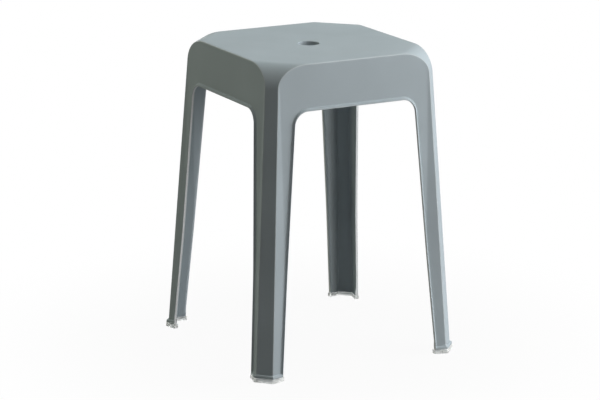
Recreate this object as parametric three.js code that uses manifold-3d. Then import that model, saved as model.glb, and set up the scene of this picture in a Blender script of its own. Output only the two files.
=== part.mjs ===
// Stacking stool: one moulded plastic body on four soft foot caps.
//
// Millimetres, +Z up. The origin is on the floor under the middle of the seat, the front is -Y
// and the left is -X. The body is the same from all four sides, so its faces are described once,
// by their distance from the middle, and every corner uses the same numbers:
//   depth    how far a face stands out from the middle, square to its own side
//   lateral  how far a point lies to the left or right of that side's centre line
//   reach    how far a point lies from the middle along the diagonal of a corner

import * as THREE from 'three';
import { ConvexGeometry } from 'three/addons/geometries/ConvexGeometry.js';
import { mergeVertices } from 'three/addons/utils/BufferGeometryUtils.js';
import Module from 'manifold-3d';

// Seat and skirts: a skirt leans out by its spread between the seat's top and the floor
const seatHeight = 450;
const seatHalfWidth = 134.5;
const skirtHeight = 66.5;
const skirtSpread = 21.2;
const seatThickness = 3;
const wallThickness = 2.5;
const dishBorder = 12.5;
const dishDepth = 1.5;

// Legs: a diagonal web between two side faces. The edge between web and side face leans out by
// the leg's spread, and the side face turns in from that edge towards the opening.
const webSeatWidth = 19.1;
const webFloorWidth = 25.3;
const legSpread = 28;
const legFaceTurn = THREE.MathUtils.degToRad(12.3);
const strapRadius = 35.2;

// Arched opening in each side, with the width of a leg's side face beside it
const legSideArchWidth = 27.8;
const legSideFloorWidth = 16.8;
const archCornerRadius = 21;

// Bead turned out along every free edge: how far it stands out, how far the wall's inside follows
// it, and on each stretch its width and how much of that is its sloped flank
const beadProud = 3;
const beadHollow = 1.5;
const beadArchWidth = 5.3;
const beadArchFlank = 3;
const beadLegWidth = 4.6;
const beadLegFlank = 4;
const beadFootWidth = 5.2;
const beadFootFlank = 2;
const beadSteps = 2;

// Hole in the seat, with its rounded lip and the collar under it
const holeRadius = 12.4;
const holeLipRadius = 4.4;
const collarWall = 2.4;
const collarDepth = 6.5;

// Stiffening ribs under the seat
const ribThickness = 2;
const ribDepth = 10;
const ribLines = 4;

// Foot: a thin tongue under each leg end sits in a groove in the cap
const capHeight = 6.5;
const tongueInset = 0.5;
const tongueLength = 4.2;
const tongueEndSetback = 1;
const capProud = 3.4;
const capInnerLip = 1.6;
const capEndOverhang = 1.9;
const capClearance = 0.3;
const capWindowWidth = 1.6;
const capWindowHeight = 3.6;

// How far cutting shapes run past what they cut, and the length below which edges are closed up
const overrun = 8;
const weldLength = 0.01;

// Flat pieces that make up a round stretch
const strapSteps = 8;
const archCornerSteps = 6;
const holeLipSteps = 5;
const dishRings = 6;
const roundSegments = 40;

const wasm = await Module();
wasm.setup();

// Where the web's edges meet the seat's top and the floor
const diagonal = Math.SQRT2;
const webEdgeSeatLateral = seatHalfWidth - webSeatWidth / diagonal;
const webEdgeFloorDepth = seatHalfWidth + legSpread;
const webEdgeFloorLateral = webEdgeFloorDepth - webFloorWidth / diagonal;

// Faces of the body as planes. A face's depth falls by its lean for each millimetre of height.
const skirtFloorDepth = seatHalfWidth + skirtSpread;
const skirtLean = skirtSpread / seatHeight;
const webSeatReach = (webEdgeSeatLateral + seatHalfWidth) / diagonal;
const webFloorReach = (webEdgeFloorLateral + webEdgeFloorDepth) / diagonal;
const webLean = (webFloorReach - webSeatReach) / seatHeight;
const legFaceSlope = Math.tan(legFaceTurn);
const legFaceSeatDepth = seatHalfWidth - legFaceSlope * webEdgeSeatLateral;
const legFaceFloorDepth = webEdgeFloorDepth - legFaceSlope * webEdgeFloorLateral;
const legFaceLean = (legFaceFloorDepth - legFaceSeatDepth) / seatHeight;

// The opening's top and its half width at the top and at the floor
const archTop = seatHeight - skirtHeight;
const webEdgeLean = (webEdgeFloorLateral - webEdgeSeatLateral) / seatHeight;
const archHalfWidthAtTop = webEdgeFloorLateral - webEdgeLean * archTop - legSideArchWidth;
const archHalfWidthAtFloor = webEdgeFloorLateral - legSideFloorWidth;
const archLean = (archHalfWidthAtFloor - archHalfWidthAtTop) / archTop;

function skirtDepth(height, inset) {
  return skirtFloorDepth - skirtLean * height - inset * Math.hypot(1, skirtLean);
}

// Depth of a leg's side face on the centre line of its side; it grows with the lateral
function legFaceDepth(height, inset) {
  return legFaceFloorDepth - legFaceLean * height - inset * Math.hypot(1, legFaceSlope, legFaceLean);
}

// Depth of the outer surface beside an opening, where skirt and leg face overlap
function sideDepth(height, lateral) {
  return Math.max(skirtDepth(height, 0), legFaceDepth(height, 0) + legFaceSlope * lateral);
}

// Round bend between a level top and a leaning side: [distance, height] from the top down
function bend(floorDistance, lean, top, radius, steps) {
  const centreHeight = top - radius;
  const centreDistance = floorDistance - lean * centreHeight - radius * Math.hypot(1, lean);
  const lastAngle = Math.atan(lean);
  const points = [];
  for (let step = 0; step <= steps; step += 1) {
    const angle = THREE.MathUtils.lerp(Math.PI / 2, lastAngle, step / steps);
    points.push([
      centreDistance + radius * Math.cos(angle),
      centreHeight + radius * Math.sin(angle),
    ]);
  }
  return points;
}

// Reach and height down the middle of a corner: strap bend, then web, down to the floor height
function cornerProfile(topInset, sideInset, floor) {
  const floorReach = webFloorReach - sideInset * Math.hypot(1, webLean);
  const profile = bend(
    floorReach, webLean, seatHeight - topInset, strapRadius - sideInset, strapSteps,
  );
  profile.push([floorReach - webLean * floor, floor]);
  return profile;
}

function solidFrom(geometry) {
  const plain = geometry.clone();
  plain.deleteAttribute('normal');
  plain.deleteAttribute('uv');
  const merged = mergeVertices(plain);
  return new wasm.Manifold(new wasm.Mesh({
    numProp: 3,
    vertProperties: new Float32Array(merged.attributes.position.array),
    triVerts: new Uint32Array(merged.index.array),
  }));
}

function geometryFrom(solid) {
  const mesh = solid.simplify(weldLength).getMesh();
  const geometry = new THREE.BufferGeometry();
  geometry.setAttribute('position', new THREE.BufferAttribute(mesh.vertProperties, 3));
  geometry.setIndex(new THREE.BufferAttribute(mesh.triVerts, 1));
  geometry.computeVertexNormals();
  return geometry;
}

function box(low, high) {
  const size = new THREE.Vector3().subVectors(high, low);
  const centre = new THREE.Vector3().addVectors(low, high).multiplyScalar(0.5);
  const geometry = new THREE.BoxGeometry(size.x, size.y, size.z);
  return solidFrom(geometry.translate(centre.x, centre.y, centre.z));
}

const quarters = [[-1, -1], [1, -1], [-1, 1], [1, 1]];
const halfSpan = webEdgeFloorDepth + overrun;

// Level slab that takes in the whole plan of the stool
function slab(low, high) {
  return box(
    new THREE.Vector3(-halfSpan, -halfSpan, low),
    new THREE.Vector3(halfSpan, halfSpan, high),
  );
}

// Seat and skirts as one convex block, with the four straps bent over its corners
function coreBlock(topInset, sideInset, floor) {
  const points = [];
  for (const [sideX, sideY] of quarters) {
    for (const [reach, height] of cornerProfile(topInset, sideInset, floor)) {
      const depth = skirtDepth(height, sideInset);
      const lateral = diagonal * reach - depth;
      points.push(new THREE.Vector3(sideX * lateral, sideY * depth, height));
      points.push(new THREE.Vector3(sideX * depth, sideY * lateral, height));
    }
  }
  return solidFrom(new ConvexGeometry(points));
}

// One leg as a convex block: two side faces, the web between them, and a part inside the core
function legBlock(sideX, sideY, topInset, sideInset, floor) {
  const points = [];
  const add = (lateral, depth, height) => {
    points.push(new THREE.Vector3(sideX * lateral, sideY * depth, height));
    points.push(new THREE.Vector3(sideX * depth, sideY * lateral, height));
  };
  for (const [reach, height] of cornerProfile(topInset, sideInset, floor)) {
    const middleDepth = legFaceDepth(height, sideInset);
    const lateral = (diagonal * reach - middleDepth) / (1 + legFaceSlope);
    add(lateral, diagonal * reach - lateral, height);
  }
  const innerLateral = archHalfWidthAtTop / 2;
  for (const height of [seatHeight - topInset, floor]) {
    add(innerLateral, legFaceDepth(height, sideInset) + legFaceSlope * innerLateral, height);
    add(innerLateral, innerLateral, height);
  }
  return solidFrom(new ConvexGeometry(points));
}

// The stool's filled outer form, drawn in by the insets (or let out, where they are negative)
function form(topInset, sideInset, floor) {
  let solid = coreBlock(topInset, sideInset, floor);
  for (const [sideX, sideY] of quarters) {
    solid = solid.add(legBlock(sideX, sideY, topInset, sideInset, floor));
  }
  return solid;
}

// The arched openings of all four sides, run right through the stool and let out by the growths
function arches(sideGrowth, topGrowth) {
  const radius = archCornerRadius + sideGrowth;
  const floorHalfWidth = archHalfWidthAtFloor + sideGrowth * Math.hypot(1, archLean);
  const right = bend(floorHalfWidth, archLean, archTop + topGrowth, radius, archCornerSteps);
  right.push([floorHalfWidth + archLean * overrun, -overrun]);
  const left = right.map(([lateral, height]) => [-lateral, height]).reverse();
  const outline = [...right, ...left].map(([lateral, height]) => new THREE.Vector2(lateral, height));
  const geometry = new THREE.ExtrudeGeometry(new THREE.Shape(outline), {
    depth: 2 * halfSpan,
    bevelEnabled: false,
  });
  geometry.rotateX(Math.PI / 2).translate(0, halfSpan, 0);
  const alongY = solidFrom(geometry);
  const alongX = solidFrom(geometry.clone().rotateZ(Math.PI / 2));
  return alongY.add(alongX);
}

// Bead round the openings and the leg ends, its sloped flank made of equal steps
function bead() {
  let solid = null;
  for (let step = 1; step <= beadSteps; step += 1) {
    const climbed = (step - 1) / beadSteps;
    const proudForm = form(0, -beadProud * step / beadSteps, capHeight);
    const legBand = beadLegWidth - beadLegFlank * climbed;
    const archBand = beadArchWidth - beadArchFlank * climbed;
    const footBand = beadFootWidth - beadFootFlank * climbed;
    const ring = proudForm.intersect(
      arches(legBand, archBand).add(slab(0, capHeight + footBand)),
    );
    solid = solid ? solid.add(ring) : ring;
  }
  return solid;
}

// What the wall's inside gives up to follow the bead; the leg ends stay solid
function hollowBehindBead() {
  const band = arches(beadLegWidth / 2, beadArchWidth / 2)
    .subtract(slab(-overrun, capHeight + beadFootWidth));
  return form(0, wallThickness - beadHollow, capHeight).intersect(band);
}

function latheSolid(profile) {
  const points = profile.map(([radius, height]) => new THREE.Vector2(radius, height));
  return solidFrom(new THREE.LatheGeometry(points, roundSegments).rotateX(Math.PI / 2));
}

// Shallow dish in the seat: its depth falls from the middle to nothing as half a cosine wave
function dishCut() {
  const dishRadius = seatHalfWidth - dishBorder;
  const profile = [[0, seatHeight - dishDepth]];
  for (let ring = 1; ring <= dishRings; ring += 1) {
    const share = ring / dishRings;
    const depth = dishDepth * (1 + Math.cos(Math.PI * share)) / 2;
    profile.push([dishRadius * share, seatHeight - depth]);
  }
  profile.push([dishRadius, seatHeight + overrun]);
  profile.push([0, seatHeight + overrun]);
  return latheSolid(profile);
}

const lipTop = seatHeight - dishDepth;

// Hole through the seat with a quarter-round lip
function holeCut() {
  const bottom = seatHeight - collarDepth - overrun;
  const profile = [[0, bottom], [holeRadius, bottom]];
  for (let step = 0; step <= holeLipSteps; step += 1) {
    const angle = (Math.PI / 2) * step / holeLipSteps;
    profile.push([
      holeRadius + holeLipRadius * (1 - Math.cos(angle)),
      lipTop - holeLipRadius * (1 - Math.sin(angle)),
    ]);
  }
  profile.push([holeRadius + holeLipRadius, seatHeight + overrun]);
  profile.push([0, seatHeight + overrun]);
  return latheSolid(profile);
}

// Ribs that cross under the seat and end in the skirts, with a collar round the hole
function underside() {
  const top = seatHeight - seatThickness / 2;
  let solid = latheSolid([
    [0, seatHeight - dishDepth - collarDepth],
    [holeRadius + collarWall, seatHeight - dishDepth - collarDepth],
    [holeRadius + collarWall, top - dishDepth],
    [0, top - dishDepth],
  ]);
  const rib = new THREE.BoxGeometry(2 * halfSpan, ribThickness, seatThickness / 2 + ribDepth);
  rib.translate(0, 0, seatHeight - dishDepth - seatThickness - ribDepth / 2 + seatThickness / 4);
  for (let line = 0; line < ribLines; line += 1) {
    solid = solid.add(solidFrom(rib.clone().rotateZ(Math.PI * line / ribLines)));
  }
  return solid.intersect(form(dishDepth + seatThickness / 2, wallThickness / 2, capHeight));
}

const tongueBottom = capHeight - tongueLength;

// Tongue under each leg end, or the groove for it when it is let out by the clearance
function tongue(clearance) {
  const thick = form(0, tongueInset - clearance, tongueBottom - clearance)
    .intersect(slab(0, capHeight + clearance));
  return thick
    .subtract(form(0, wallThickness - tongueInset + clearance, -overrun))
    .subtract(arches(tongueEndSetback - clearance, tongueEndSetback));
}

function stoolBody() {
  return form(0, 0, capHeight)
    .add(bead())
    .subtract(dishCut())
    .subtract(form(seatThickness + dishDepth, wallThickness, -overrun))
    .subtract(hollowBehindBead())
    .add(underside())
    .subtract(arches(0, 0))
    .subtract(holeCut())
    .add(tongue(0));
}

// Small upright window through a cap's outer wall, in the middle of each side face of a leg
function capWindows(sideX, sideY) {
  const height = capHeight / 2;
  const lateral = archHalfWidthAtFloor + legSideFloorWidth / 2;
  const depth = sideDepth(height, lateral) + capProud - tongueInset;
  const window = new THREE.BoxGeometry(capWindowWidth, 2 * (capProud + tongueInset), capWindowHeight);
  const front = window.clone().translate(sideX * lateral, sideY * depth, height);
  const side = window.clone().rotateZ(Math.PI / 2).translate(sideX * depth, sideY * lateral, height);
  return solidFrom(front).add(solidFrom(side));
}

// Cap: follows the leg's open channel, a little wider than the bead, and holds the tongue
function footCap(sideX, sideY) {
  const top = capHeight - capClearance;
  const quarter = box(
    new THREE.Vector3(Math.min(0, sideX * halfSpan), Math.min(0, sideY * halfSpan), 0),
    new THREE.Vector3(Math.max(0, sideX * halfSpan), Math.max(0, sideY * halfSpan), top),
  );
  return form(0, -capProud, 0)
    .intersect(quarter)
    .subtract(form(0, wallThickness + capInnerLip, -overrun))
    .subtract(arches(-capEndOverhang, 0))
    .subtract(tongue(capClearance))
    .subtract(capWindows(sideX, sideY));
}

const bodyPlastic = new THREE.MeshStandardMaterial({
  color: new THREE.Color(0.37, 0.41, 0.43),
  roughness: 0.5,
  metalness: 0,
});
const capPlastic = new THREE.MeshStandardMaterial({
  color: new THREE.Color(0.75, 0.78, 0.76),
  roughness: 0.35,
  metalness: 0,
});

function part(name, solid, material) {
  const mesh = new THREE.Mesh(geometryFrom(solid), material);
  mesh.name = name;
  return mesh;
}

const stool = new THREE.Group();
stool.name = 'stacking_stool';
stool.add(part('stool_body', stoolBody(), bodyPlastic));
for (const [sideX, sideY] of quarters) {
  const name = `foot_cap_${sideY < 0 ? 'front' : 'back'}_${sideX < 0 ? 'left' : 'right'}`;
  stool.add(part(name, footCap(sideX, sideY), capPlastic));
}

export default stool;
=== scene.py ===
"""Stacking stool: a moulded plastic body on four clear foot caps, in a plain white studio.

Metres, +Z up, origin on the floor under the middle of the seat. All eight halves of the stool's
four sides are alike, so one half is worked out and placed eight times. It is described by:
  lateral  distance from the centre line of its side
  depth    distance from the middle of the stool, square to its side
  height   distance above the floor
  reach    distance from the middle along the diagonal of a corner
  inset    how far inside the stool's outer faces a surface lies
"""

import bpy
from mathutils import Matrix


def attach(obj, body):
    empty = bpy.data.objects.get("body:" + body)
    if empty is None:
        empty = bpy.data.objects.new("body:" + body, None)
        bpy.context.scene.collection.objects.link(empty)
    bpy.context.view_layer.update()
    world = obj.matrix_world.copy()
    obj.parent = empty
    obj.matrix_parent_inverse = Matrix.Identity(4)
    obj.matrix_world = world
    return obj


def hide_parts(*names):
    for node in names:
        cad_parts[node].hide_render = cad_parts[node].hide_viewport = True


bl_info = {
    "name": "Stacking Stool",
    "version": (1, 0, 0),
    "blender": (4, 5, 0),
    "location": "3D View > Sidebar > Stool",
    "description": "Builds a stacking stool's moulded body, its foot caps and a plain studio",
    "category": "Add Mesh",
}

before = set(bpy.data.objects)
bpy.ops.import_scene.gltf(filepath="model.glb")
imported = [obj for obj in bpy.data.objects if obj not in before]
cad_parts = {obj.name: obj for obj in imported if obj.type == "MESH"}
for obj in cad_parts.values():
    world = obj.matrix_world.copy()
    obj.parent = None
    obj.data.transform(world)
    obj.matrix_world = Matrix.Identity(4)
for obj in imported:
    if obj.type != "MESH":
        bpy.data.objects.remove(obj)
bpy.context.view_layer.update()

import math

import bmesh
import bpy
import numpy as np
from bpy.props import FloatProperty, FloatVectorProperty, IntProperty, PointerProperty
from bpy.types import Operator, Panel, PropertyGroup
from mathutils import Quaternion, Vector

DIAGONAL = math.sqrt(2.0)
QUARTERS = ((-1, -1), (1, -1), (-1, 1), (1, 1))
WHITE = (1.0, 1.0, 1.0, 1.0)

# Steps across the small parts of a surface.
ROUNDING_STEPS = 3
LAND_STEPS = 2
FLANK_STEPS = 8
RIB_STEPS = 12
FOOT_RUN_STEPS = 4

# Rounds that bring the edge between two faces to its place.
EDGE_ROUNDS = 24
# Points closer than this are joined.
WELD_DISTANCE = 2e-6
# How much the larger of two faces leads where their shading meets.
FACE_WEIGHT = 90
# The least rounding of a corner that lies deep in a wall, as a share of the outermost one.
LEAST_ROUNDING = 0.25

# Painted highlight: how far the plastic's colour is lifted towards its pale highlight colour on
# the lip of a free edge, on a rounded edge, and across the end face between the two skins, which
# is drawn at these parts of the way through.
LIP_HIGHLIGHT = 0.15
EDGE_HIGHLIGHT = 0.3
END_HIGHLIGHT = np.array([LIP_HIGHLIGHT, 1.0, 1.0, LIP_HIGHLIGHT])
END_PARTS = np.array([0.0, 0.15, 0.85, 1.0])[:, None]

# Where a noise pattern's middle range starts and ends, and where a colour ramp's two stops lie.
PATTERN_MIDDLE = (0.3, 0.7)
RAMP_STOPS = (0.25, 0.75)

# How far the camera sees.
CAMERA_REACH = 100.0

# Soft boxes that face one point: name, tint, azimuth, elevation and width.
LAMP_AIM = Vector((0.0, 0.0, 0.25))
LAMP_DISTANCE = 2.8
WIDE_BOX = 2.2
SMALL_BOX = 1.2
LAMPS = (
    ("Key", (0.945, 0.964, 1.0), 60.0, 25.0, WIDE_BOX),
    ("Front", (1.0, 0.935, 0.869), 45.0, 12.0, WIDE_BOX),
    ("Side", (1.0, 0.935, 0.887), 75.0, 12.0, WIDE_BOX),
    ("Top", (0.997, 1.0, 0.93), 20.0, 88.0, SMALL_BOX),
    ("Rear", (0.93, 1.0, 0.987), 135.0, 45.0, SMALL_BOX),
    ("Back", (0.993, 1.0, 0.75), -135.0, 12.0, SMALL_BOX),
    ("Left", (1.0, 0.935, 0.869), -45.0, 45.0, SMALL_BOX),
    ("Fill", (0.99, 1.0, 1.0), 176.0, 7.0, SMALL_BOX),
)


def length(name, description, default):
    """A size in metres, shown in the sidebar with its unit."""
    return FloatProperty(
        name=name, description=description, default=default, min=0.0, precision=5, unit="LENGTH"
    )


def angle(name, description, degrees):
    """An angle, shown in the sidebar in degrees."""
    return FloatProperty(
        name=name, description=description, default=math.radians(degrees), subtype="ANGLE"
    )


def share(name, description, default):
    """A number from 0 to 1."""
    return FloatProperty(
        name=name, description=description, default=default, min=0.0, max=1.0, subtype="FACTOR"
    )


def colour(name, description, default):
    """A colour in linear light."""
    return FloatVectorProperty(
        name=name, description=description, default=default, size=3, min=0.0, max=1.0,
        subtype="COLOR",
    )


def power(name, description, watts):
    """A lamp's power."""
    return FloatProperty(
        name=name, description=description, default=watts, min=0.0, unit="POWER"
    )


def count(name, description, default):
    """How many flat pieces make up a stretch of a surface."""
    return IntProperty(name=name, description=description, default=default, min=1)


# Sizes and finishes


class StoolBodySizes(PropertyGroup):
    """Sizes of the moulded body."""

    seat_height: length("Seat height", "Height of the seat's level border", 0.45)
    seat_half_width: length("Seat half width", "From the middle to the seat's edge", 0.1345)
    skirt_height: length("Skirt height", "From the seat down to the top of an arch", 0.0665)
    skirt_spread: length("Skirt spread", "How far a skirt's plane leans out at the floor", 0.0212)
    seat_thickness: length("Seat thickness", "Wall of the seat under the dish", 0.003)
    wall_thickness: length("Wall thickness", "Wall of the skirts and legs", 0.0025)
    dish_border: length("Dish border", "Level border round the dish", 0.0125)
    dish_depth: length("Dish depth", "Depth of the dish in the middle", 0.0015)
    web_seat_width: length("Web width at the seat", "Width of a leg's corner face", 0.0191)
    web_floor_width: length("Web width at the floor", "Width of a leg's corner face", 0.0253)
    leg_spread: length("Leg spread", "How far a leg's corner leans out at the floor", 0.028)
    leg_face_turn: angle("Leg face turn", "Turn of a leg's side face towards the arch", 12.3)
    strap_radius: length("Strap radius", "Bend from the seat into a leg's corner face", 0.0352)
    leg_side_arch_width: length("Leg width at the arch", "Side face beside the arch", 0.0278)
    leg_side_floor_width: length("Leg width at the floor", "Side face at the floor", 0.0168)
    arch_corner_radius: length("Arch radius", "Rounding of an arch's upper corners", 0.021)
    seat_edge_radius: length("Seat edge radius", "Rounding between a side and the seat", 0.002)
    edge_radius: length("Edge radius", "Rounding between a side and a leg's corner face", 0.0016)
    inner_edge_radius: length("Inner edge radius", "The same rounding on the inside", 0.0009)
    crease_softness: length("Crease softness", "Rounding where skirt and leg face meet", 0.00018)
    leg_end_height: length("Leg end height", "Height of a leg's end above the floor", 0.0065)


class StoolRimSizes(PropertyGroup):
    """Sizes of the bead turned out along every free edge."""

    proud: length("Bead height", "How far the bead stands out", 0.003)
    hollow: length("Bead hollow", "How far the wall's inside follows the bead", 0.0015)
    land_rise: length("Land rise", "How much of its height the bead's land still rises", 0.0003)
    arch_width: length("Width at an arch", "Width of the bead over an arch", 0.0053)
    arch_flank: length("Flank at an arch", "Width of its sloped flank there", 0.0026)
    leg_width: length("Width on a leg", "Width of the bead along a leg", 0.0046)
    leg_flank: length("Flank on a leg", "Width of its sloped flank there", 0.0039)
    foot_width: length("Width at a foot", "Width of the bead round a leg's end", 0.0052)
    foot_flank: length("Flank at a foot", "Width of its sloped flank there", 0.002)
    lip_radius: length("Lip radius", "Rounding of the bead's outer corner", 0.0004)
    inner_lip_radius: length("Inner lip radius", "Rounding of the free edge inside", 0.0004)
    flare: FloatProperty(
        name="Flare", description="Power of the flank's curve, 1 for a straight one", default=2.4
    )


class StoolSeatSizes(PropertyGroup):
    """Sizes of the hole and of what stiffens the seat from below."""

    hole_radius: length("Hole radius", "Radius of the hole's bore", 0.0155)
    hole_lip_width: length("Hole lip width", "Width of the hole's rounded upper lip", 0.0011)
    hole_lip_depth: length("Hole lip depth", "Depth of the hole's rounded upper lip", 0.0011)
    collar_wall: length("Collar wall", "Wall of the collar under the hole", 0.0024)
    collar_depth: length("Collar depth", "From the dish down to the collar's end", 0.009)
    collar_radius: length("Collar rounding", "Rounding of the collar's end", 0.0005)
    collar_fillet: length("Collar fillet", "Fillet between the collar and the seat", 0.001)
    rib_thickness: length("Rib thickness", "Thickness of a rib under the seat", 0.002)
    rib_depth: length("Rib depth", "Depth of a rib under the seat", 0.01)
    rib_radius: length("Rib rounding", "Rounding of a rib's lower edge", 0.0006)
    rib_seating: length("Rib seating", "How far a rib runs into the wall", 0.0012)
    rib_count: count("Half ribs", "Ribs from the collar outwards, one each way", 8)


class StoolCapSizes(PropertyGroup):
    """Sizes of the tongue under a leg and of the foot cap that it sits in."""

    height: length("Cap height", "Height of a cap", 0.0062)
    proud: length("Cap overhang", "How far a cap stands out past the leg's faces", 0.0034)
    inner_lip: length("Inner lip", "How far a cap reaches in past the leg's wall", 0.0016)
    end_overhang: length("End overhang", "How far a cap runs past the leg's edges", 0.0019)
    edge_radius: length("Cap rounding", "Rounding of a cap's outer edges", 0.0007)
    tongue_inset: length("Tongue inset", "From the leg's faces to its tongue", 0.0005)
    tongue_length: length("Tongue length", "Length of the tongue under a leg", 0.0042)
    tongue_setback: length("Tongue setback", "From the leg's edges to its tongue", 0.001)
    clearance: length("Clearance", "Gap round the tongue in its groove", 0.0003)
    window_width: length("Window width", "Width of the small window in a cap's wall", 0.0016)
    window_low: length("Window foot", "Height of the window's lower end", 0.0022)
    window_high: length("Window head", "Height of the window's upper end", 0.005)


class StoolMeshCounts(PropertyGroup):
    """How finely the surfaces are divided."""

    across: count("Along an arch", "Steps from a side's centre line to the bend", 16)
    round: count("Round a bend", "Steps round an arch's corner and a strap", 20)
    down: count("Down a leg", "Steps from the bend to the foot bead", 44)
    panel: count("Across a side", "Steps from the bead to the side's outer edge", 14)
    edge: count("Round an edge", "Steps round a rounded edge", 5)
    web: count("Across a half web", "Steps from a web's edge to its middle", 5)
    rings: count("Rings in the seat", "Rings from the hole to the seat's edge", 26)
    lip: count("Round the hole's lip", "Steps round the hole's lip", 8)


class StoolFinish(PropertyGroup):
    """Colours and surface of the two plastics."""

    body_colour: colour("Body colour", "Grey of the moulded body", (0.357, 0.415, 0.448))
    body_roughness: share("Body roughness", "Satin finish of the moulding", 0.56)
    body_gloss: share("Body gloss", "Strength of the moulding's reflections", 0.04)
    cap_colour: colour("Cap colour", "Tint of the clear caps", (0.93, 0.95, 0.94))
    cap_roughness: share("Cap roughness", "Frosting of the caps", 0.46)
    cap_clarity: share("Cap clarity", "How much light passes through the caps", 0.72)
    mottle: share("Mottling", "Strength of the plastic's faint cloudiness", 0.06)
    # Painted highlight: how far the colour is lifted towards white on lips, end faces and rounded
    # edges.
    wear: share("Edge lightening", "How much paler the trimmed free edges are", 0.55)


class StoolStage(PropertyGroup):
    """Camera, lamps and floor of the studio."""

    camera_azimuth: angle("Camera azimuth", "Round the stool from the front", -28.58)
    camera_elevation: angle("Camera elevation", "Above the horizon", 15.151)
    camera_roll: angle("Camera roll", "Turn of the camera about its view", 0.217)
    camera_distance: length("Camera distance", "From the aim point", 3.500575)
    camera_aim: FloatVectorProperty(
        name="Aim point", description="Where the camera looks", size=3, subtype="TRANSLATION",
        default=(-0.011821, 0.00277, 0.213098), unit="LENGTH",
    )
    camera_lens: FloatProperty(
        name="Lens", description="Focal length", default=142.027, unit="CAMERA"
    )
    floor_half_width: length("Floor half width", "Half the width of the floor", 12.0)
    floor_gap: length("Floor gap", "How far the floor lies below the caps", 0.0002)
    floor_colour: colour("Floor colour", "Colour of the floor as the lamps light it", (0.3,) * 3)
    floor_lift: share("Floor lift", "How much of the floor near the stool is plain white", 0.95)
    white_start: length("White start", "Where the floor starts to fade to plain white", 0.15)
    white_end: length("White end", "Where the floor has faded to plain white", 0.6)
    key_power: power("Key lamp", "Soft box on the right", 67.5)
    front_power: power("Front lamp", "Low soft box on the right front", 40.0)
    side_power: power("Side lamp", "Low soft box on the right", 15.0)
    top_power: power("Top lamp", "Soft box overhead", 21.3)
    rear_power: power("Rear lamp", "Soft box behind on the right", 11.8)
    back_power: power("Back lamp", "Weak warm fill behind on the left", 16.2)
    left_power: power("Left lamp", "Weak fill above on the left", 6.3)
    fill_power: power("Fill lamp", "Low soft box behind", 20.0)


# The stool's form


class StoolForm:
    """The planes of the stool's faces, and the surfaces and lines worked out from them."""

    def __init__(self, body):
        self.top = body.seat_height
        half = body.seat_half_width
        web_seat_lateral = half - body.web_seat_width / DIAGONAL
        web_floor_depth = half + body.leg_spread
        web_floor_lateral = web_floor_depth - body.web_floor_width / DIAGONAL
        web_edge_lean = (web_floor_lateral - web_seat_lateral) / self.top

        self.skirt_floor_depth = half + body.skirt_spread
        self.skirt_lean = body.skirt_spread / self.top
        self.web_floor_reach = (web_floor_lateral + web_floor_depth) / DIAGONAL
        web_seat_reach = (web_seat_lateral + half) / DIAGONAL
        self.web_lean = (self.web_floor_reach - web_seat_reach) / self.top
        self.leg_slope = math.tan(body.leg_face_turn)
        leg_seat_depth = half - self.leg_slope * web_seat_lateral
        self.leg_floor_depth = web_floor_depth - self.leg_slope * web_floor_lateral
        self.leg_lean = (self.leg_floor_depth - leg_seat_depth) / self.top
        self.softness = body.crease_softness
        self.strap_radius = body.strap_radius

        self.arch_top = self.top - body.skirt_height
        arch_half = web_floor_lateral - web_edge_lean * self.arch_top - body.leg_side_arch_width
        self.foot_half = web_floor_lateral - body.leg_side_floor_width
        self.arch_lean = (self.foot_half - arch_half) / self.arch_top
        self.arch_radius = body.arch_corner_radius

    def face_depths(self, lateral, height, inset):
        """Depth of the skirt's plane and of the leg face's plane, each moved in by the inset."""
        skirt = self.skirt_floor_depth - self.skirt_lean * height
        leg = self.leg_floor_depth - self.leg_lean * height + self.leg_slope * lateral
        return (
            skirt - inset * slant(self.skirt_lean),
            leg - inset * slant(self.leg_slope, self.leg_lean),
        )

    def panel_depth(self, lateral, height, inset):
        """Depth of a side: the larger of skirt and leg face, with their crease softened.

        The mean of the two, plus half the root of their difference squared and the softness
        squared.
        """
        skirt, leg = self.face_depths(lateral, height, inset)
        return (skirt + leg + np.hypot(skirt - leg, self.softness)) / 2.0

    def panel_normal(self, lateral, height, inset):
        """Outward direction of a side: the two planes' directions, mixed as their depths are."""
        skirt, leg = self.face_depths(lateral, height, inset)
        weight = (1.0 + (leg - skirt) / np.hypot(skirt - leg, self.softness)) / 2.0
        rise = mix(self.skirt_lean, self.leg_lean, weight)
        return unit(np.stack([-weight * self.leg_slope, np.ones_like(weight), rise], axis=-1))

    def strap(self, turn, top_inset, inset):
        """Reach and height on the strap's bend, a circle arc that touches the seat and the web."""
        radius = self.strap_radius - inset
        centre_height = self.top - top_inset - radius
        centre_reach = self.web_reach(centre_height, inset) - radius * slant(self.web_lean)
        return centre_reach + radius * np.cos(turn), centre_height + radius * np.sin(turn)

    def web_reach(self, height, inset):
        """Reach of a leg's corner face, which leans in with the height."""
        return self.web_floor_reach - inset * slant(self.web_lean) - self.web_lean * height

    def edge_lateral(self, reach, height, inset):
        """Lateral of the edge between a side and a strap or web.

        There the side's depth and the lateral add up to the reach times the root of two. Each
        round closes in on it.
        """
        lateral = reach / DIAGONAL
        for _ in range(EDGE_ROUNDS):
            lateral = DIAGONAL * reach - self.panel_depth(lateral, height, inset)
        return lateral

    def free_lateral(self, height, growth):
        """Lateral of a leg's free edge, moved into the leg by the growth."""
        return self.foot_half + growth * slant(self.arch_lean) - self.arch_lean * height


def mix(low, high, part):
    """The value that lies the given part of the way from low to high."""
    return low + (high - low) * part


def unit(vectors):
    """The vectors scaled to a length of one."""
    return vectors / np.linalg.norm(vectors, axis=-1, keepdims=True)


def slant(*leans):
    """How far apart, seen level, two leaning faces lie that are one apart: the root of one plus
    the squares of their leans."""
    return math.hypot(1.0, *leans)


def steps(number):
    """Evenly spaced values from 0 to 1 over a number of steps."""
    return np.linspace(0.0, 1.0, number + 1)


def quarter_turn(number=ROUNDING_STEPS):
    """Evenly spaced angles from 0 to a right angle over a number of steps."""
    return steps(number) * math.pi / 2.0


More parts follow.
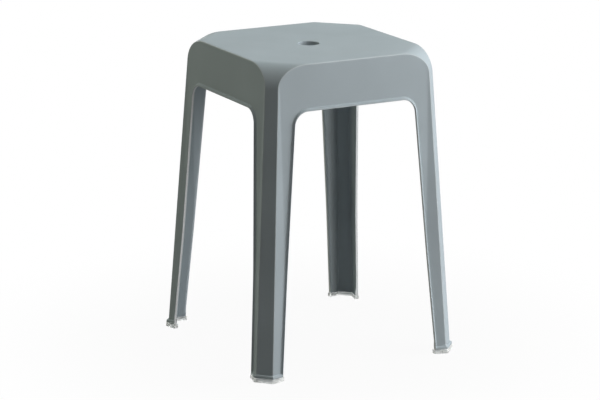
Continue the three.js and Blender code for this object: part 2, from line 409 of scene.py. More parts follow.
class Stations:
    """Where the rows of a side lie: along the arch and the seat's edge, round the bends, down
    the leg, and through the bead round the leg's end."""

    def __init__(self, counts, body, rim):
        foot = rim_offsets(rim, np.array([rim.foot_width]), np.array([rim.foot_flank]))[0][::-1]
        runs = [counts.across, counts.round, counts.down, len(foot)]
        starts = np.cumsum([0] + runs)
        row = np.arange(starts[-1])
        self.bend_start = starts[1]
        self.across = np.clip(row / runs[0], 0.0, 1.0)
        self.turn = np.clip((row - starts[1]) / runs[1], 0.0, 1.0)
        self.fall = np.clip((row - starts[2]) / runs[2], 0.0, 1.0)
        self.on_leg = row >= starts[2]
        self.on_foot = row >= starts[3]
        self.floor = body.leg_end_height
        self.foot = np.full(len(row), rim.foot_width)
        self.foot[self.on_foot] = foot
        self.rim_width = mix(rim.arch_width, rim.leg_width, self.turn)
        self.rim_flank = mix(rim.arch_flank, rim.leg_flank, self.turn)

    def heights(self, bend_heights):
        """Heights of the rows: those of the bend, then an even fall to the foot bead, then the
        foot bead's own heights."""
        shape = (-1,) + (1,) * (bend_heights.ndim - 1)
        fall = self.fall.reshape(shape)
        foot = self.foot.reshape(shape)
        falling = mix(bend_heights, self.floor + foot, fall)
        return np.where(self.on_leg.reshape(shape), falling, bend_heights)


def rim_offsets(rim, width, flank):
    """Distances from a free edge at which the bead is drawn, one row for each bead width.

    They go round the lip, over the land, and down the flank to the bead's width.
    """
    lip = rim.lip_radius * (1.0 - np.cos(quarter_turn()))
    land_end = (width - flank)[:, None]
    land = mix(rim.lip_radius, land_end, steps(LAND_STEPS)[1:])
    slope = land_end + flank[:, None] * steps(FLANK_STEPS)[1:]
    return np.concatenate([np.broadcast_to(lip, (len(width), len(lip))), land, slope], axis=1)


def bead_height(rim, offset, width, flank):
    """How far the bead stands out at a distance from the free edge: a flank that steepens as a
    power of the way up, then a land that rises evenly to the edge."""
    up_flank = np.clip((width - offset) / flank, 0.0, 1.0) ** rim.flare
    along_land = np.clip(1.0 - offset / (width - flank), 0.0, 1.0)
    return (rim.proud - rim.land_rise) * up_flank + rim.land_rise * along_land


def lip_drop(offset, lip_radius, radius):
    """How far a rounded lip falls away towards the free edge: a quarter circle of the radius,
    drawn at offsets that belong to a lip of lip_radius."""
    part = np.clip(1.0 - offset / lip_radius, 0.0, 1.0)
    return radius * (1.0 - np.sqrt(1.0 - part**2))


def rim_line(form, stations, offset):
    """Lateral and height of the line at an offset from the free edge of an arch and its leg.

    Level over the arch, then a circle arc about the arch's corner, then straight down the leg.
    """
    lean = form.arch_lean
    centre_height = form.arch_top - form.arch_radius
    centre_lateral = form.free_lateral(centre_height, 0.0) - form.arch_radius * slant(lean)
    turn = mix(math.pi / 2.0, math.atan(lean), stations.turn)[:, None]
    radius = form.arch_radius + offset
    height = stations.heights(centre_height + radius * np.sin(turn))
    lateral = centre_lateral * stations.across[:, None] + radius * np.cos(turn)
    down_leg = form.free_lateral(height, offset)
    return np.where(stations.on_leg[:, None], down_leg, lateral), height


def edge_line(form, stations, top_inset, inset):
    """The edge between a side and the seat, strap or web, as points and as the outward
    directions of the second surface.

    Level along the seat, then over the strap's bend, then straight down the web.
    """
    turn = mix(math.pi / 2.0, math.atan(form.web_lean), stations.turn)
    reach, height = form.strap(turn, top_inset, inset)
    height = stations.heights(height)
    reach = np.where(stations.on_leg, form.web_reach(height, inset), reach)
    lateral = form.edge_lateral(reach, height, inset) * stations.across
    depth = form.panel_depth(lateral, height, inset)
    outward = np.cos(turn) / DIAGONAL
    return (
        np.stack([lateral, depth, height], axis=-1),
        np.stack([outward, outward, np.sin(turn)], axis=-1),
    )


def rounded_edge(edge, first, second, radius, parts):
    """Points round an edge between two surfaces with outward directions first and second: a
    circle arc of the radius that touches both, drawn at the given parts of the turn."""
    cosine = np.sum(first * second, axis=-1, keepdims=True)
    radius = np.asarray(radius)[..., None]
    centre = edge - radius * (first + second) / (1.0 + cosine)
    opening = np.arccos(np.clip(cosine, -1.0, 1.0))[..., None, :]
    part = parts[:, None]
    blend = (
        np.sin((1.0 - part) * opening) * first[..., None, :]
        + np.sin(part * opening) * second[..., None, :]
    ) / np.sin(opening)
    return centre[..., None, :] + radius[..., None] * blend


def skin_rows(form, stations, counts, rim, wall, top_inset, edge_radii):
    """Rows of one skin of a side, from the free edge to the side's outer edge, round it, and
    for the rows below the seat on to the middle of the strap or web.

    The outer skin has no wall and carries the bead. The inner skin lies a wall further in and
    follows the bead part of the way, but not at the leg's end, which is solid. The outer edge's
    rounding goes from the first of edge_radii along the seat to the second down the leg.
    """
    outer = wall == 0.0
    lip_radius = rim.lip_radius if outer else rim.inner_lip_radius
    offset = rim_offsets(rim, stations.rim_width, stations.rim_flank)
    width, flank = stations.rim_width[:, None], stations.rim_flank[:, None]
    side_bead = bead_height(rim, offset, width, flank)
    side_drop = lip_drop(offset, rim.lip_radius, lip_radius)
    foot_bead = bead_height(rim, stations.foot, rim.foot_width, rim.foot_flank)
    foot_bead = np.where(stations.on_foot, foot_bead, 0.0)
    foot_drop = lip_drop(stations.foot, rim.lip_radius, lip_radius)
    foot_drop = np.where(stations.on_foot, foot_drop, 0.0)
    turned = 1.0 if outer else -1.0
    follow = 1.0 if outer else np.where(stations.on_foot, 0.0, rim.hollow / rim.proud)[:, None]
    side_inset = (
        wall
        - follow * np.maximum(side_bead, foot_bead[:, None])
        + turned * np.maximum(side_drop, foot_drop[:, None])
    )
    foot_inset = wall - (foot_bead if outer else 0.0) + turned * foot_drop

    edge, second = edge_line(form, stations, top_inset, foot_inset)
    first = form.panel_normal(edge[:, 0], edge[:, 2], foot_inset)
    radius = mix(edge_radii[0], edge_radii[1], stations.turn)
    round_edge = rounded_edge(edge, first, second, radius, steps(counts.edge))

    lateral, height = rim_line(form, stations, offset)
    bead = np.stack([lateral, form.panel_depth(lateral, height, side_inset), height], axis=-1)
    part = steps(counts.panel)[1:-1]
    lateral = mix(lateral[:, -1:], round_edge[:, :1, 0], part)
    height = mix(height[:, -1:], round_edge[:, :1, 2], part)
    depth = form.panel_depth(lateral, height, foot_inset[:, None])
    side = np.concatenate([bead, np.stack([lateral, depth, height], axis=-1), round_edge], axis=1)

    start = side[stations.bend_start :, -1]
    middle = (start + start[:, [1, 0, 2]]) / 2.0
    across = mix(start[:, None, :], middle[:, None, :], steps(counts.web)[1:, None])
    below = np.concatenate([side[stations.bend_start :], across], axis=1)
    return side[: stations.bend_start + 1], below


def seat_border(over, below, web_steps):
    """Outline of an eighth of the seat: the side's upper edge, then the start of the strap."""
    return np.concatenate([over[:-1, -1], below[0, -web_steps - 1 :]])


def dish_height(form, body, radius):
    """Height of the seat's top: a dish that falls to the middle as half a cosine wave."""
    dish_radius = body.seat_half_width - body.dish_border
    wave = np.cos(math.pi * np.clip(radius / dish_radius, 0.0, 1.0))
    return form.top - body.dish_depth * (1.0 + wave) / 2.0


def seat_rings(ring, border, number):
    """Rings from a round ring of points out to the seat's outline, evenly spaced."""
    return mix(ring[None], border[None], steps(number)[:, None, None])


def hole_profile(form, body, seat, lip_steps):
    """Radius and height from the seat's top through the hole and round its collar to the seat's
    underside: a lip that is a quarter of an ellipse, the bore, and two small roundings and a
    fillet that are quarter circles."""
    lip_width = seat.hole_lip_width
    outside = seat.hole_radius + lip_width
    lip_top = float(dish_height(form, body, np.array(outside)))
    end = form.top - body.dish_depth - seat.collar_depth
    wall = seat.hole_radius + seat.collar_wall
    small = seat.collar_radius
    fillet = seat.collar_fillet
    under = form.top - body.seat_thickness - body.dish_depth

    def quarter(radius, height, width, rise, start, number=ROUNDING_STEPS):
        turn = start + quarter_turn(number)
        return np.stack([radius + width * np.cos(turn), height + rise * np.sin(turn)], axis=-1)

    lip_depth = seat.hole_lip_depth
    lip = quarter(outside, lip_top - lip_depth, lip_width, lip_depth, math.pi / 2.0, lip_steps)
    bore_end = quarter(seat.hole_radius + small, end + small, small, small, math.pi)
    outer_end = quarter(wall - small, end + small, small, small, 1.5 * math.pi)
    root = quarter(wall + fillet, under - fillet, fillet, fillet, math.pi / 2.0)[::-1]
    return np.concatenate([lip, bore_end, outer_end, root])


# Meshes


class Shell:
    """Grids of points gathered into the faces of one mesh."""

    def __init__(self):
        self.points = []
        self.faces = []
        # How much painted highlight each point's colour takes.
        self.wear = []
        self.size = 0

    def add(self, grid, flipped=False, kept=None, wear=0.0):
        """Adds a grid as quads, turned over if flipped, without those that kept leaves out."""
        rows, columns = grid.shape[:2]
        index = np.arange(rows * columns).reshape(rows, columns) + self.size
        quads = np.stack(
            [index[:-1, :-1], index[1:, :-1], index[1:, 1:], index[:-1, 1:]], axis=-1
        )
        quads = quads[kept] if kept is not None else quads.reshape(-1, 4)
        self.faces.append(quads[:, ::-1] if flipped else quads)
        self.points.append(grid.reshape(-1, 3))
        # Strength of the painted highlight at each point of the grid.
        self.wear.append(np.broadcast_to(wear, (rows, columns)).reshape(-1))
        self.size += rows * columns

    def add_everywhere(self, grid, corners=QUARTERS, flipped=False, kept=None, wear=0.0):
        """Adds the two mirror images of a grid at each of the corners."""
        for side_x, side_y in corners:
            for order in ([0, 1, 2], [1, 0, 2]):
                placed = grid[..., order] * np.array([side_x, side_y, 1.0])
                mirrored = (side_x * side_y < 0) != (order[0] == 1)
                self.add(placed, flipped != mirrored, kept, wear)

    def build(self, name):
        """The mesh, with its seams closed, as an object in the scene."""
        mesh = bpy.data.meshes.new(name)
        faces = np.concatenate(self.faces)
        mesh.from_pydata(np.concatenate(self.points).tolist(), [], faces.tolist())
        # Painted highlight: per point, how far the body's colour is lifted towards white.
        wear = mesh.attributes.new("wear", "FLOAT", "POINT")
        wear.data.foreach_set("value", np.concatenate(self.wear).astype(np.float32))
        welded = bmesh.new()
        welded.from_mesh(mesh)
        bmesh.ops.remove_doubles(welded, verts=welded.verts, dist=WELD_DISTANCE)
        welded.to_mesh(mesh)
        welded.free()
        mesh.polygons.foreach_set("use_smooth", np.ones(len(mesh.polygons), bool))
        piece = bpy.data.objects.new(name, mesh)
        bpy.context.scene.collection.objects.link(piece)
        shading = piece.modifiers.new("Even shading", "WEIGHTED_NORMAL")
        shading.weight = FACE_WEIGHT
        return piece


def add_body_skins(shell, form, body, rim, seat, counts):
    """Both skins of the moulding, the ends that join them, and the hole with its collar."""
    stations = Stations(counts, body, rim)
    under = body.seat_thickness + body.dish_depth
    edge_radii = (body.seat_edge_radius, body.edge_radius)
    outer = skin_rows(form, stations, counts, rim, 0.0, 0.0, edge_radii)
    edge_radii = (body.inner_edge_radius, body.inner_edge_radius)
    inner = skin_rows(form, stations, counts, rim, body.wall_thickness, under, edge_radii)
    side_columns = outer[0].shape[1]
    round_edge = slice(side_columns - counts.edge - 1, side_columns)
    # Painted highlight: the lip columns and the rounded edge's columns get a paler colour.
    wear = np.zeros(outer[1].shape[1])
    wear[: ROUNDING_STEPS + 1] = LIP_HIGHLIGHT
    wear[round_edge] = EDGE_HIGHLIGHT * np.sin(steps(counts.edge) * math.pi)
    for rows, flipped in ((outer, True), (inner, False)):
        shell.add_everywhere(rows[0], flipped=flipped, wear=wear[:side_columns])
        shell.add_everywhere(rows[1], flipped=flipped, wear=wear)

    outer_end = np.concatenate([rows[:, :1] for rows in (outer[0][:-1], outer[1])])
    inner_end = np.concatenate([rows[:, :1] for rows in (inner[0][:-1], inner[1])])
    # The end face between the two skins gets painted highlight too.
    shell.add_everywhere(mix(outer_end, inner_end, END_PARTS), wear=END_HIGHLIGHT)
    shell.add_everywhere(mix(outer[1][-1][:, None], inner[1][-1][:, None], END_PARTS))

    top_border = seat_border(*outer, counts.web)
    under_border = seat_border(*inner, counts.web)
    around = np.arctan2(top_border[:, 0], top_border[:, 1])
    profile = hole_profile(form, body, seat, counts.lip)
    hole = np.stack(
        [
            profile[:, :1] * np.sin(around),
            profile[:, :1] * np.cos(around),
            np.broadcast_to(profile[:, 1:], (len(profile), len(around))),
        ],
        axis=-1,
    )
    top = seat_rings(hole[0], top_border, counts.rings)
    top[..., 2] = dish_height(form, body, np.hypot(top[..., 0], top[..., 1]))
    shell.add_everywhere(top, flipped=True)
    shell.add_everywhere(hole)
    shell.add_everywhere(seat_rings(hole[-1], under_border, counts.rings))


def add_ribs(shell, form, body, seat):
    """Ribs from the collar out to the skirts and straps, each a plate with a rounded lower edge.

    Across a rib the points run round its section; along it they run from the collar's wall to
    the inside of the skirt or strap at their own height, a little way into the wall.
    """
    half = seat.rib_thickness / 2.0
    radius = seat.rib_radius
    upper = form.top - body.dish_depth - body.seat_thickness / 2.0
    lower = form.top - body.dish_depth - body.seat_thickness - seat.rib_depth
    turn = quarter_turn()
    corner = np.stack(
        [half - radius + radius * np.cos(turn), lower + radius - radius * np.sin(turn)], axis=-1
    )
    right = np.concatenate([[[half, upper]], corner])
    section = np.concatenate([right, right[::-1] * [-1.0, 1.0], right[:1]])
    start = seat.hole_radius + seat.collar_wall / 2.0
    inset = body.wall_thickness - seat.rib_seating
    skirt_end = form.panel_depth(0.0, section[:, 1], inset)
    strap_radius = form.strap_radius - inset
    under = body.seat_thickness + body.dish_depth
    centre_reach, centre_height = form.strap(math.pi / 2.0, under - seat.rib_seating, inset)
    centre_height -= strap_radius
    bend = np.sqrt(np.clip(strap_radius**2 - (section[:, 1] - centre_height) ** 2, 0.0, None))
    strap_end = centre_reach + bend
    for number in range(seat.rib_count):
        around = 2.0 * math.pi * number / seat.rib_count
        end = strap_end if number % 2 else skirt_end
        along = mix(start, end[:, None], steps(RIB_STEPS))
        across = np.broadcast_to(section[:, :1], along.shape)
        grid = np.stack(
            [
                along * math.cos(around) - across * math.sin(around),
                along * math.sin(around) + across * math.cos(around),
                np.broadcast_to(section[:, 1:], along.shape),
            ],
            axis=-1,
        )
        shell.add(grid, flipped=True)
        for column, flipped in ((0, False), (-1, True)):
            rim_points = grid[:, column]
            centre = np.broadcast_to(rim_points[:-1].mean(axis=0), rim_points.shape)
            shell.add(np.stack([rim_points, centre], axis=1), flipped)


def level_half(form, lateral, height, inset, radius, counts):
    """Points along half a leg's section, for each height and inset of a profile.

    They lie at the given laterals on the side face, at even steps from the last of them to the
    corner, round the corner's arc of the radius, and along the web to its middle.
    """
    edge_side = form.edge_lateral(form.web_reach(height, inset), height, inset)
    edge = np.stack([edge_side, form.panel_depth(edge_side, height, inset)], axis=-1)
    first = unit(form.panel_normal(edge_side, height, inset)[:, :2])
    second = np.full_like(first, 1.0 / DIAGONAL)
    corner = rounded_edge(edge, first, second, radius, steps(counts.edge))
    depth = form.panel_depth(lateral, height[:, None], inset[:, None])
    side = np.stack([lateral, depth], axis=-1)
    run = mix(side[:, -1:], corner[:, :1], steps(FOOT_RUN_STEPS)[1:-1, None])
    middle = (corner[:, -1:] + corner[:, -1:, ::-1]) / 2.0
    web = mix(corner[:, -1:], middle, steps(counts.web)[1:, None])
    plan = np.concatenate([side, run, corner, web], axis=1)
    level = np.broadcast_to(height[:, None, None], plan.shape[:2] + (1,))
    return np.concatenate([plan, level], axis=-1)


def corner_radii(body, inset):
    """Plan rounding of a leg's corners at an inset, so that the walls keep their thickness."""
    return np.maximum(body.edge_radius - inset, body.edge_radius * LEAST_ROUNDING)


def add_tongues(shell, form, body, caps, counts):
    """The thin tongue under each leg's end: a closed strip that follows the leg's section."""
    outside = caps.tongue_inset
    inside = body.wall_thickness - caps.tongue_inset
    low = body.leg_end_height - caps.tongue_length
    high = body.leg_end_height + body.inner_edge_radius
    inset = np.array([outside, outside, inside, inside, outside])
    height = np.array([low, high, high, low, low])
    lateral = form.free_lateral(height, caps.tongue_setback)[:, None]
    grid = level_half(form, lateral, height, inset, corner_radii(body, inset), counts)
    shell.add_everywhere(grid)
    end = grid[:, 0]
    centre = np.broadcast_to(end[:-1].mean(axis=0), end.shape)
    shell.add_everywhere(np.stack([centre, end], axis=1))


def cap_profile(body, caps):
    """Section of a cap as insets and heights, with how each point moves when the section
    shrinks, which points lie in the groove, and the rows where the window's outer and inner
    side start.

    Up the outer wall past the window, over the top and down into the groove, out of it, down
    the inner wall and back along the bottom, with a quarter circle at each outer corner.
    """
    radius = caps.edge_radius
    outside = -caps.proud
    inside = body.wall_thickness + caps.inner_lip
    groove_out = caps.tongue_inset - caps.clearance
    groove_in = body.wall_thickness - caps.tongue_inset + caps.clearance
    groove_floor = body.leg_end_height - caps.tongue_length - caps.clearance
    top = caps.height
    turn = quarter_turn()[:, None]

    def corner(inset, height, start):
        arc = np.concatenate([np.cos(turn + start), np.sin(turn + start)], axis=1)
        return np.array([inset, height]) + radius * arc

    outer_low = corner(outside + radius, radius, math.pi)[::-1]
    outer_high = corner(outside + radius, top - radius, math.pi / 2.0)[::-1]
    inner_high = corner(inside - radius, top - radius, 0.0)[::-1]
    inner_low = corner(inside - radius, radius, 1.5 * math.pi)[::-1]
    window = np.array([[outside, caps.window_low], [outside, caps.window_high]])
    groove = np.array([
        [groove_out, top],
        [groove_out, caps.window_high],
        [groove_out, caps.window_low],
        [groove_out, groove_floor],
        [groove_in, groove_floor],
        [groove_in, top],
    ])
    points = np.concatenate(
        [outer_low, window, outer_high, groove, inner_high, inner_low, outer_low[:1]]
    )
    middle = np.array([(outside + inside) / 2.0, top / 2.0])
    shrink = np.sign(middle - points)
    first_groove = len(outer_low) + len(window) + len(outer_high)
    in_groove = np.zeros(len(points), bool)
    in_groove[first_groove : first_groove + len(groove)] = True
    shrink[in_groove, 0] = 0.0
    shrink[in_groove, 1] = -1.0
    shrink[len(outer_low) : len(outer_low) + len(window), 1] = 0.0
    return points, shrink, in_groove, len(outer_low), first_groove + 1


def build_cap(form, body, caps, counts, name, corner):
    """One foot cap: its section carried along the leg's section, from a rounded end through the
    groove and past the window to the middle of the corner, and mirrored there."""
    points, shrink, in_groove, window_row, groove_row = cap_profile(body, caps)
    radius = caps.edge_radius
    turn = quarter_turn()
    groove_start = caps.tongue_setback - caps.clearance
    before_groove = groove_start - 1.5 * WELD_DISTANCE
    window_start = (body.leg_side_floor_width - caps.window_width) / 2.0
    along = np.concatenate([
        [-caps.end_overhang],
        -caps.end_overhang + radius * (1.0 - np.cos(turn)),
        [before_groove, groove_start, window_start, window_start + caps.window_width],
    ])
    squeeze = np.zeros(len(along))
    squeeze[1 : len(turn) + 1] = radius * (1.0 - np.sin(turn))
    columns = len(along)
    full = level_columns(form, body, points, in_groove, caps, along, squeeze, shrink, counts)
    window = np.array([window_row, groove_row])
    kept = np.ones((full.shape[0] - 1, full.shape[1] - 1), bool)
    kept[window, columns - 2] = False
    shell = Shell()
    shell.add_everywhere(full, (corner,), kept=kept)
    low, high = window_row, window_row + 1
    deep_high, deep_low = groove_row, groove_row + 1
    left, right = columns - 2, columns - 1
    outer_loop = full[[low, high, high, low, low], [left, left, right, right, left]]
    inner_loop = full[
        [deep_low, deep_high, deep_high, deep_low, deep_low], [left, left, right, right, left]
    ]
    shell.add_everywhere(np.stack([outer_loop, inner_loop], axis=1), (corner,))
    return shell.build(name)


def level_columns(form, body, points, in_groove, caps, along, squeeze, shrink, counts):
    """The cap's section at each distance along the leg, squeezed at its rounded end.

    The groove is closed before its start, and the first column is drawn together to a point.
    """
    grids = []
    for distance, amount in zip(along, squeeze):
        section = points + amount * shrink
        if distance < caps.tongue_setback - caps.clearance:
            section[in_groove, 1] = caps.height - amount
        grids.append(section)
    sections = np.stack(grids, axis=1)
    sections[:, 0] = sections[:-1, 1].mean(axis=0)
    inset = sections[..., 0]
    height = sections[..., 1]
    lateral = form.free_lateral(height, along)
    depth = form.panel_depth(lateral, height, inset)
    start = np.stack([lateral, depth, height], axis=-1)
    radius = corner_radii(body, points[:, 0])
    rest = level_half(form, lateral[:, -1:], points[:, 1], points[:, 0], radius, counts)
    return np.concatenate([start, rest[:, 1:]], axis=1)


# Materials


def add_node(tree, kind, settings=None, **inputs):
    """Adds a node and sets its inputs, from values or from other nodes' outputs."""
    node = tree.nodes.new(kind)
    for key, value in (settings or {}).items():
        setattr(node, key, value)
    for key, value in inputs.items():
        socket = node.inputs[key.replace("_", " ")]
        if isinstance(value, bpy.types.NodeSocket):
            tree.links.new(value, socket)
        else:
            socket.default_value = value
    return node


def joined(tree, kind, settings, *values):
    """Adds a node, links the values to its inputs in order, and gives its result.

    Such a node also has sockets for its other uses, so only the enabled ones count.
    """
    node = add_node(tree, kind, settings)
    inputs = [socket for socket in node.inputs if socket.enabled]
    for socket, value in zip(inputs, values):
        tree.links.new(value, socket)
    return next(socket for socket in node.outputs if socket.enabled)


def noise(tree, place, scale, detail):
    """A noise pattern of so many waves a metre, from 0 to 1."""
    made = add_node(tree, "ShaderNodeTexNoise", Vector=place, Scale=scale, Detail=detail)
    return made.outputs["Fac"]


def ranged(tree, value, old, new, **settings):
    """Carries a value from one range of numbers over to another, and holds it within that."""
    made = add_node(
        tree, "ShaderNodeMapRange", settings, Value=value,
        From_Min=old[0], From_Max=old[1], To_Min=new[0], To_Max=new[1],
    )
    return made.outputs["Result"]


def roughness(tree, pattern, middle, spread):
    """A roughness that the middle range of a pattern moves about its middle value."""
    return ranged(tree, pattern, PATTERN_MIDDLE, (middle + spread[0], middle + spread[1]))


def shaded(tree, tone, pattern, levels):
    """A colour times the first to the second of the levels, as a pattern goes from 0 to 1."""
    ramp = add_node(tree, "ShaderNodeValToRGB", Fac=pattern)
    for element, place, level in zip(ramp.color_ramp.elements, RAMP_STOPS, levels):
        element.position = place
        element.color = [min(1.0, channel * level) for channel in tone] + [1.0]
    return ramp.outputs["Color"]


def relief(tree, pattern, strength, distance, **under):
    """Fine relief from a pattern, as a direction for a shader, on top of another one if given."""
    made = add_node(
        tree, "ShaderNodeBump", Height=pattern, Strength=strength, Distance=distance, **under
    )
    return made.outputs["Normal"]


def new_material(name):
    """An empty node material, its nodes, and the place on the piece that patterns follow."""
    material = bpy.data.materials.new(name)
    material.use_nodes = True
    tree = material.node_tree
    tree.nodes.clear()
    return material, tree, add_node(tree, "ShaderNodeTexCoord").outputs["Object"]


def show(tree, surface, kind="ShaderNodeOutputMaterial"):
    """Makes a shader's result the one that is seen."""
    add_node(tree, kind, Surface=surface)


def body_plastic(finish):
    """Satin grey plastic: faint cloudiness, a painted highlight on lips, end faces and rounded
    edges, and a fine moulded grain.
    """
    material, tree, place = new_material("Body plastic")
    mottle = (1.0 - finish.mottle, 1.0 + finish.mottle)
    cloud = noise(tree, place, scale=7.0, detail=3.0)
    base = shaded(tree, finish.body_colour, cloud, mottle)
    fleck = noise(tree, place, scale=420.0, detail=2.0)
    # Painted highlight: a paler copy of the colour, mixed in where the mesh's highlight attribute
    # is high.
    highlight_colour = [channel + (1.0 - channel) * finish.wear for channel in finish.body_colour]
    highlight_tone = shaded(tree, highlight_colour, fleck, mottle)
    edge = add_node(tree, "ShaderNodeAttribute", {"attribute_name": "wear"}).outputs["Fac"]
    tone = joined(tree, "ShaderNodeMix", {"data_type": "RGBA"}, edge, base, highlight_tone)
    patchy = noise(tree, place, scale=30.0, detail=4.0)
    grain = noise(tree, place, scale=1500.0, detail=2.0)
    fine = relief(tree, grain, strength=0.12, distance=0.00012)
    wave = noise(tree, place, scale=11.0, detail=2.0)
    shader = add_node(
        tree, "ShaderNodeBsdfPrincipled", Base_Color=tone,
        Roughness=roughness(tree, patchy, finish.body_roughness, spread=(-0.04, 0.05)),
        Normal=relief(tree, wave, strength=0.25, distance=0.0009, Normal=fine),
        IOR=1.49, Specular_IOR_Level=finish.body_gloss,
    )
    show(tree, shader.outputs["BSDF"])
    return material


def cap_plastic(finish):
    """Clear frosted soft plastic: part of the light passes through, the rest is scattered."""
    material, tree, place = new_material("Cap plastic")
    cloud = noise(tree, place, scale=260.0, detail=3.0)
    grain = noise(tree, place, scale=1800.0, detail=2.0)
    shader = add_node(
        tree, "ShaderNodeBsdfPrincipled",
        Base_Color=shaded(tree, finish.cap_colour, cloud, levels=(0.92, 1.06)),
        Roughness=roughness(tree, cloud, finish.cap_roughness, spread=(-0.06, 0.08)),
        Normal=relief(tree, grain, strength=0.15, distance=0.0001),
        IOR=1.5, Transmission_Weight=finish.cap_clarity,
    )
    show(tree, shader.outputs["BSDF"])
    return material


def seen_rays(tree):
    """1 for the rays that show a background: the camera's, and those mirrored or let through."""
    path = add_node(tree, "ShaderNodeLightPath").outputs
    seen = path["Is Camera Ray"]
    for kind in ("Is Glossy Ray", "Is Transmission Ray"):
        seen = joined(tree, "ShaderNodeMath", {"operation": "MAXIMUM"}, seen, path[kind])
    return seen


def floor_material(stage):
    """White floor: lit as a matt surface, and for the camera lifted to white with distance."""
    material, tree, place = new_material("Studio floor")
    distance = joined(tree, "ShaderNodeVectorMath", {"operation": "LENGTH"}, place)
    far = ranged(
        tree, distance, (stage.white_start, stage.white_end), (stage.floor_lift, 1.0),
        interpolation_type="SMOOTHSTEP",
    )
    lift = joined(tree, "ShaderNodeMath", {"operation": "MULTIPLY"}, seen_rays(tree), far)
    fleck = noise(tree, place, scale=60.0, detail=3.0)
    tone = shaded(tree, stage.floor_colour, fleck, levels=(0.99, 1.01))
    matt = add_node(tree, "ShaderNodeBsdfDiffuse", Color=tone).outputs["BSDF"]
    glow = add_node(tree, "ShaderNodeEmission", Strength=1.0).outputs["Emission"]
    show(tree, joined(tree, "ShaderNodeMixShader", None, lift, matt, glow))
    return material


# Studio


def direction(azimuth, elevation):
    """Unit vector from the stool towards a place at an azimuth from the front and a height."""
    level = math.cos(elevation)
    return Vector((
        math.sin(azimuth) * level, -math.cos(azimuth) * level, math.sin(elevation)
    ))


def add_camera(stage):
    """The camera, on a sphere round its aim point and looking at it."""
    data = bpy.data.cameras.new("Camera")
    data.lens = stage.camera_lens
    data.clip_end = CAMERA_REACH
    camera = bpy.data.objects.new("Camera", data)
    back = direction(stage.camera_azimuth, stage.camera_elevation)
    camera.location = Vector(stage.camera_aim) + back * stage.camera_distance
    camera.rotation_mode = "QUATERNION"
    upright = (-back).to_track_quat("-Z", "Y")
    camera.rotation_quaternion = upright @ Quaternion((0.0, 0.0, 1.0), stage.camera_roll)
    bpy.context.scene.collection.objects.link(camera)
    bpy.context.scene.camera = camera


def add_lamp(name, watts, tint, azimuth, elevation, width):
    """A square soft box that faces the middle of the stool. Its angles are in degrees."""
    data = bpy.data.lights.new(name, "AREA")
    data.energy = watts
    data.color = tint
    data.size = width
    lamp = bpy.data.objects.new(name, data)
    back = direction(math.radians(azimuth), math.radians(elevation))
    lamp.location = LAMP_AIM + back * LAMP_DISTANCE
    lamp.rotation_mode = "QUATERNION"
    lamp.rotation_quaternion = (-back).to_track_quat("-Z", "Y")
    bpy.context.scene.collection.objects.link(lamp)


def add_sky():
    """A backdrop that is white where it is seen, and gives no other light."""
    world = bpy.data.worlds.new("Studio")
    bpy.context.scene.world = world
    world.use_nodes = True
    tree = world.node_tree
    tree.nodes.clear()
    dark, white = (
        add_node(tree, "ShaderNodeBackground", Color=WHITE, Strength=strength).outputs[0]
        for strength in (0.0, 1.0)
    )
    backdrop = joined(tree, "ShaderNodeMixShader", None, seen_rays(tree), dark, white)
    show(tree, backdrop, "ShaderNodeOutputWorld")


def add_floor(stage):
    """A wide level floor, just below the caps."""
    mesh = bpy.data.meshes.new("Floor")
    half = stage.floor_half_width
    low = -stage.floor_gap
    corners = [(-half, -half, low), (half, -half, low), (half, half, low), (-half, half, low)]
    mesh.from_pydata(corners, [], [(0, 1, 2, 3)])
    mesh.materials.append(floor_material(stage))
    floor = bpy.data.objects.new("Floor", mesh)
    bpy.context.scene.collection.objects.link(floor)


# Operators and panel


def finished(piece, material, node):
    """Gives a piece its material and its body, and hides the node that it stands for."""
    piece.data.materials.append(material)
    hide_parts(node)
    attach(piece, "root")


class STOOL_OT_body(Operator):
    """Build the moulded body: seat, skirts, legs, bead, ribs, collar and tongues"""

    bl_idname = "stool.body"
    bl_label = "Moulded body"

    def execute(self, context):
        scene = context.scene
        body = scene.stool_body
        form = StoolForm(body)
        shell = Shell()
        add_body_skins(shell, form, body, scene.stool_rim, scene.stool_seat, scene.stool_counts)
        add_ribs(shell, form, body, scene.stool_seat)
        add_tongues(shell, form, body, scene.stool_caps, scene.stool_counts)
        piece = shell.build("moulded_body")
        finished(piece, body_plastic(scene.stool_finish), "stool_body")
        return {"FINISHED"}


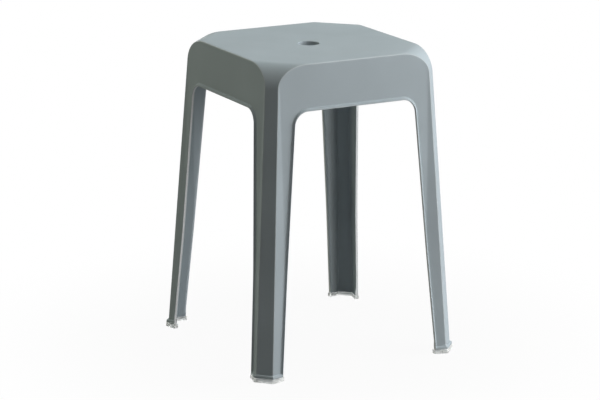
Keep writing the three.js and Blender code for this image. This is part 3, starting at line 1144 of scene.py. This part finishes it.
class STOOL_OT_caps(Operator):
    """Build the four clear foot caps"""

    bl_idname = "stool.caps"
    bl_label = "Foot caps"

    def execute(self, context):
        scene = context.scene
        form = StoolForm(scene.stool_body)
        material = cap_plastic(scene.stool_finish)
        for side_x, side_y in QUARTERS:
            place = f"{'front' if side_y < 0 else 'back'}_{'left' if side_x < 0 else 'right'}"
            piece = build_cap(
                form, scene.stool_body, scene.stool_caps, scene.stool_counts,
                f"clear_cap_{place}", (side_x, side_y),
            )
            finished(piece, material, f"foot_cap_{place}")
        return {"FINISHED"}


class STOOL_OT_stage(Operator):
    """Set up the floor, the lamps and the camera"""

    bl_idname = "stool.stage"
    bl_label = "Studio"

    def execute(self, context):
        stage = context.scene.stool_stage
        context.scene.view_settings.view_transform = "Standard"
        add_floor(stage)
        add_sky()
        for name, *settings in LAMPS:
            add_lamp(name, getattr(stage, f"{name.lower()}_power"), *settings)
        add_camera(stage)
        return {"FINISHED"}


class STOOL_PT_panel(Panel):
    """Sidebar panel that lists the stool's pieces and their sizes"""

    bl_label = "Stacking Stool"
    bl_idname = "STOOL_PT_panel"
    bl_space_type = "VIEW_3D"
    bl_region_type = "UI"
    bl_category = "Stool"

    def draw(self, context):
        column = self.layout.column()
        for operator in OPERATORS:
            column.operator(operator.bl_idname)
        for name, group in GROUPS.items():
            box = column.box()
            settings = getattr(context.scene, name)
            for key in group.__annotations__:
                box.prop(settings, key)


GROUPS = {
    "stool_body": StoolBodySizes,
    "stool_rim": StoolRimSizes,
    "stool_seat": StoolSeatSizes,
    "stool_caps": StoolCapSizes,
    "stool_counts": StoolMeshCounts,
    "stool_finish": StoolFinish,
    "stool_stage": StoolStage,
}
OPERATORS = (STOOL_OT_body, STOOL_OT_caps, STOOL_OT_stage)


def register():
    """Registers the settings, the operators and the panel."""
    for group in GROUPS.values():
        bpy.utils.register_class(group)
    for name, group in GROUPS.items():
        setattr(bpy.types.Scene, name, PointerProperty(type=group))
    for operator in OPERATORS:
        bpy.utils.register_class(operator)
    bpy.utils.register_class(STOOL_PT_panel)


def unregister():
    """Undoes register."""
    bpy.utils.unregister_class(STOOL_PT_panel)
    for operator in reversed(OPERATORS):
        bpy.utils.unregister_class(operator)
    for name, group in GROUPS.items():
        delattr(bpy.types.Scene, name)
        bpy.utils.unregister_class(group)


def main():
    register()
    bpy.ops.stool.body()
    bpy.ops.stool.caps()
    bpy.ops.stool.stage()


if __name__ == "__main__":
    main()
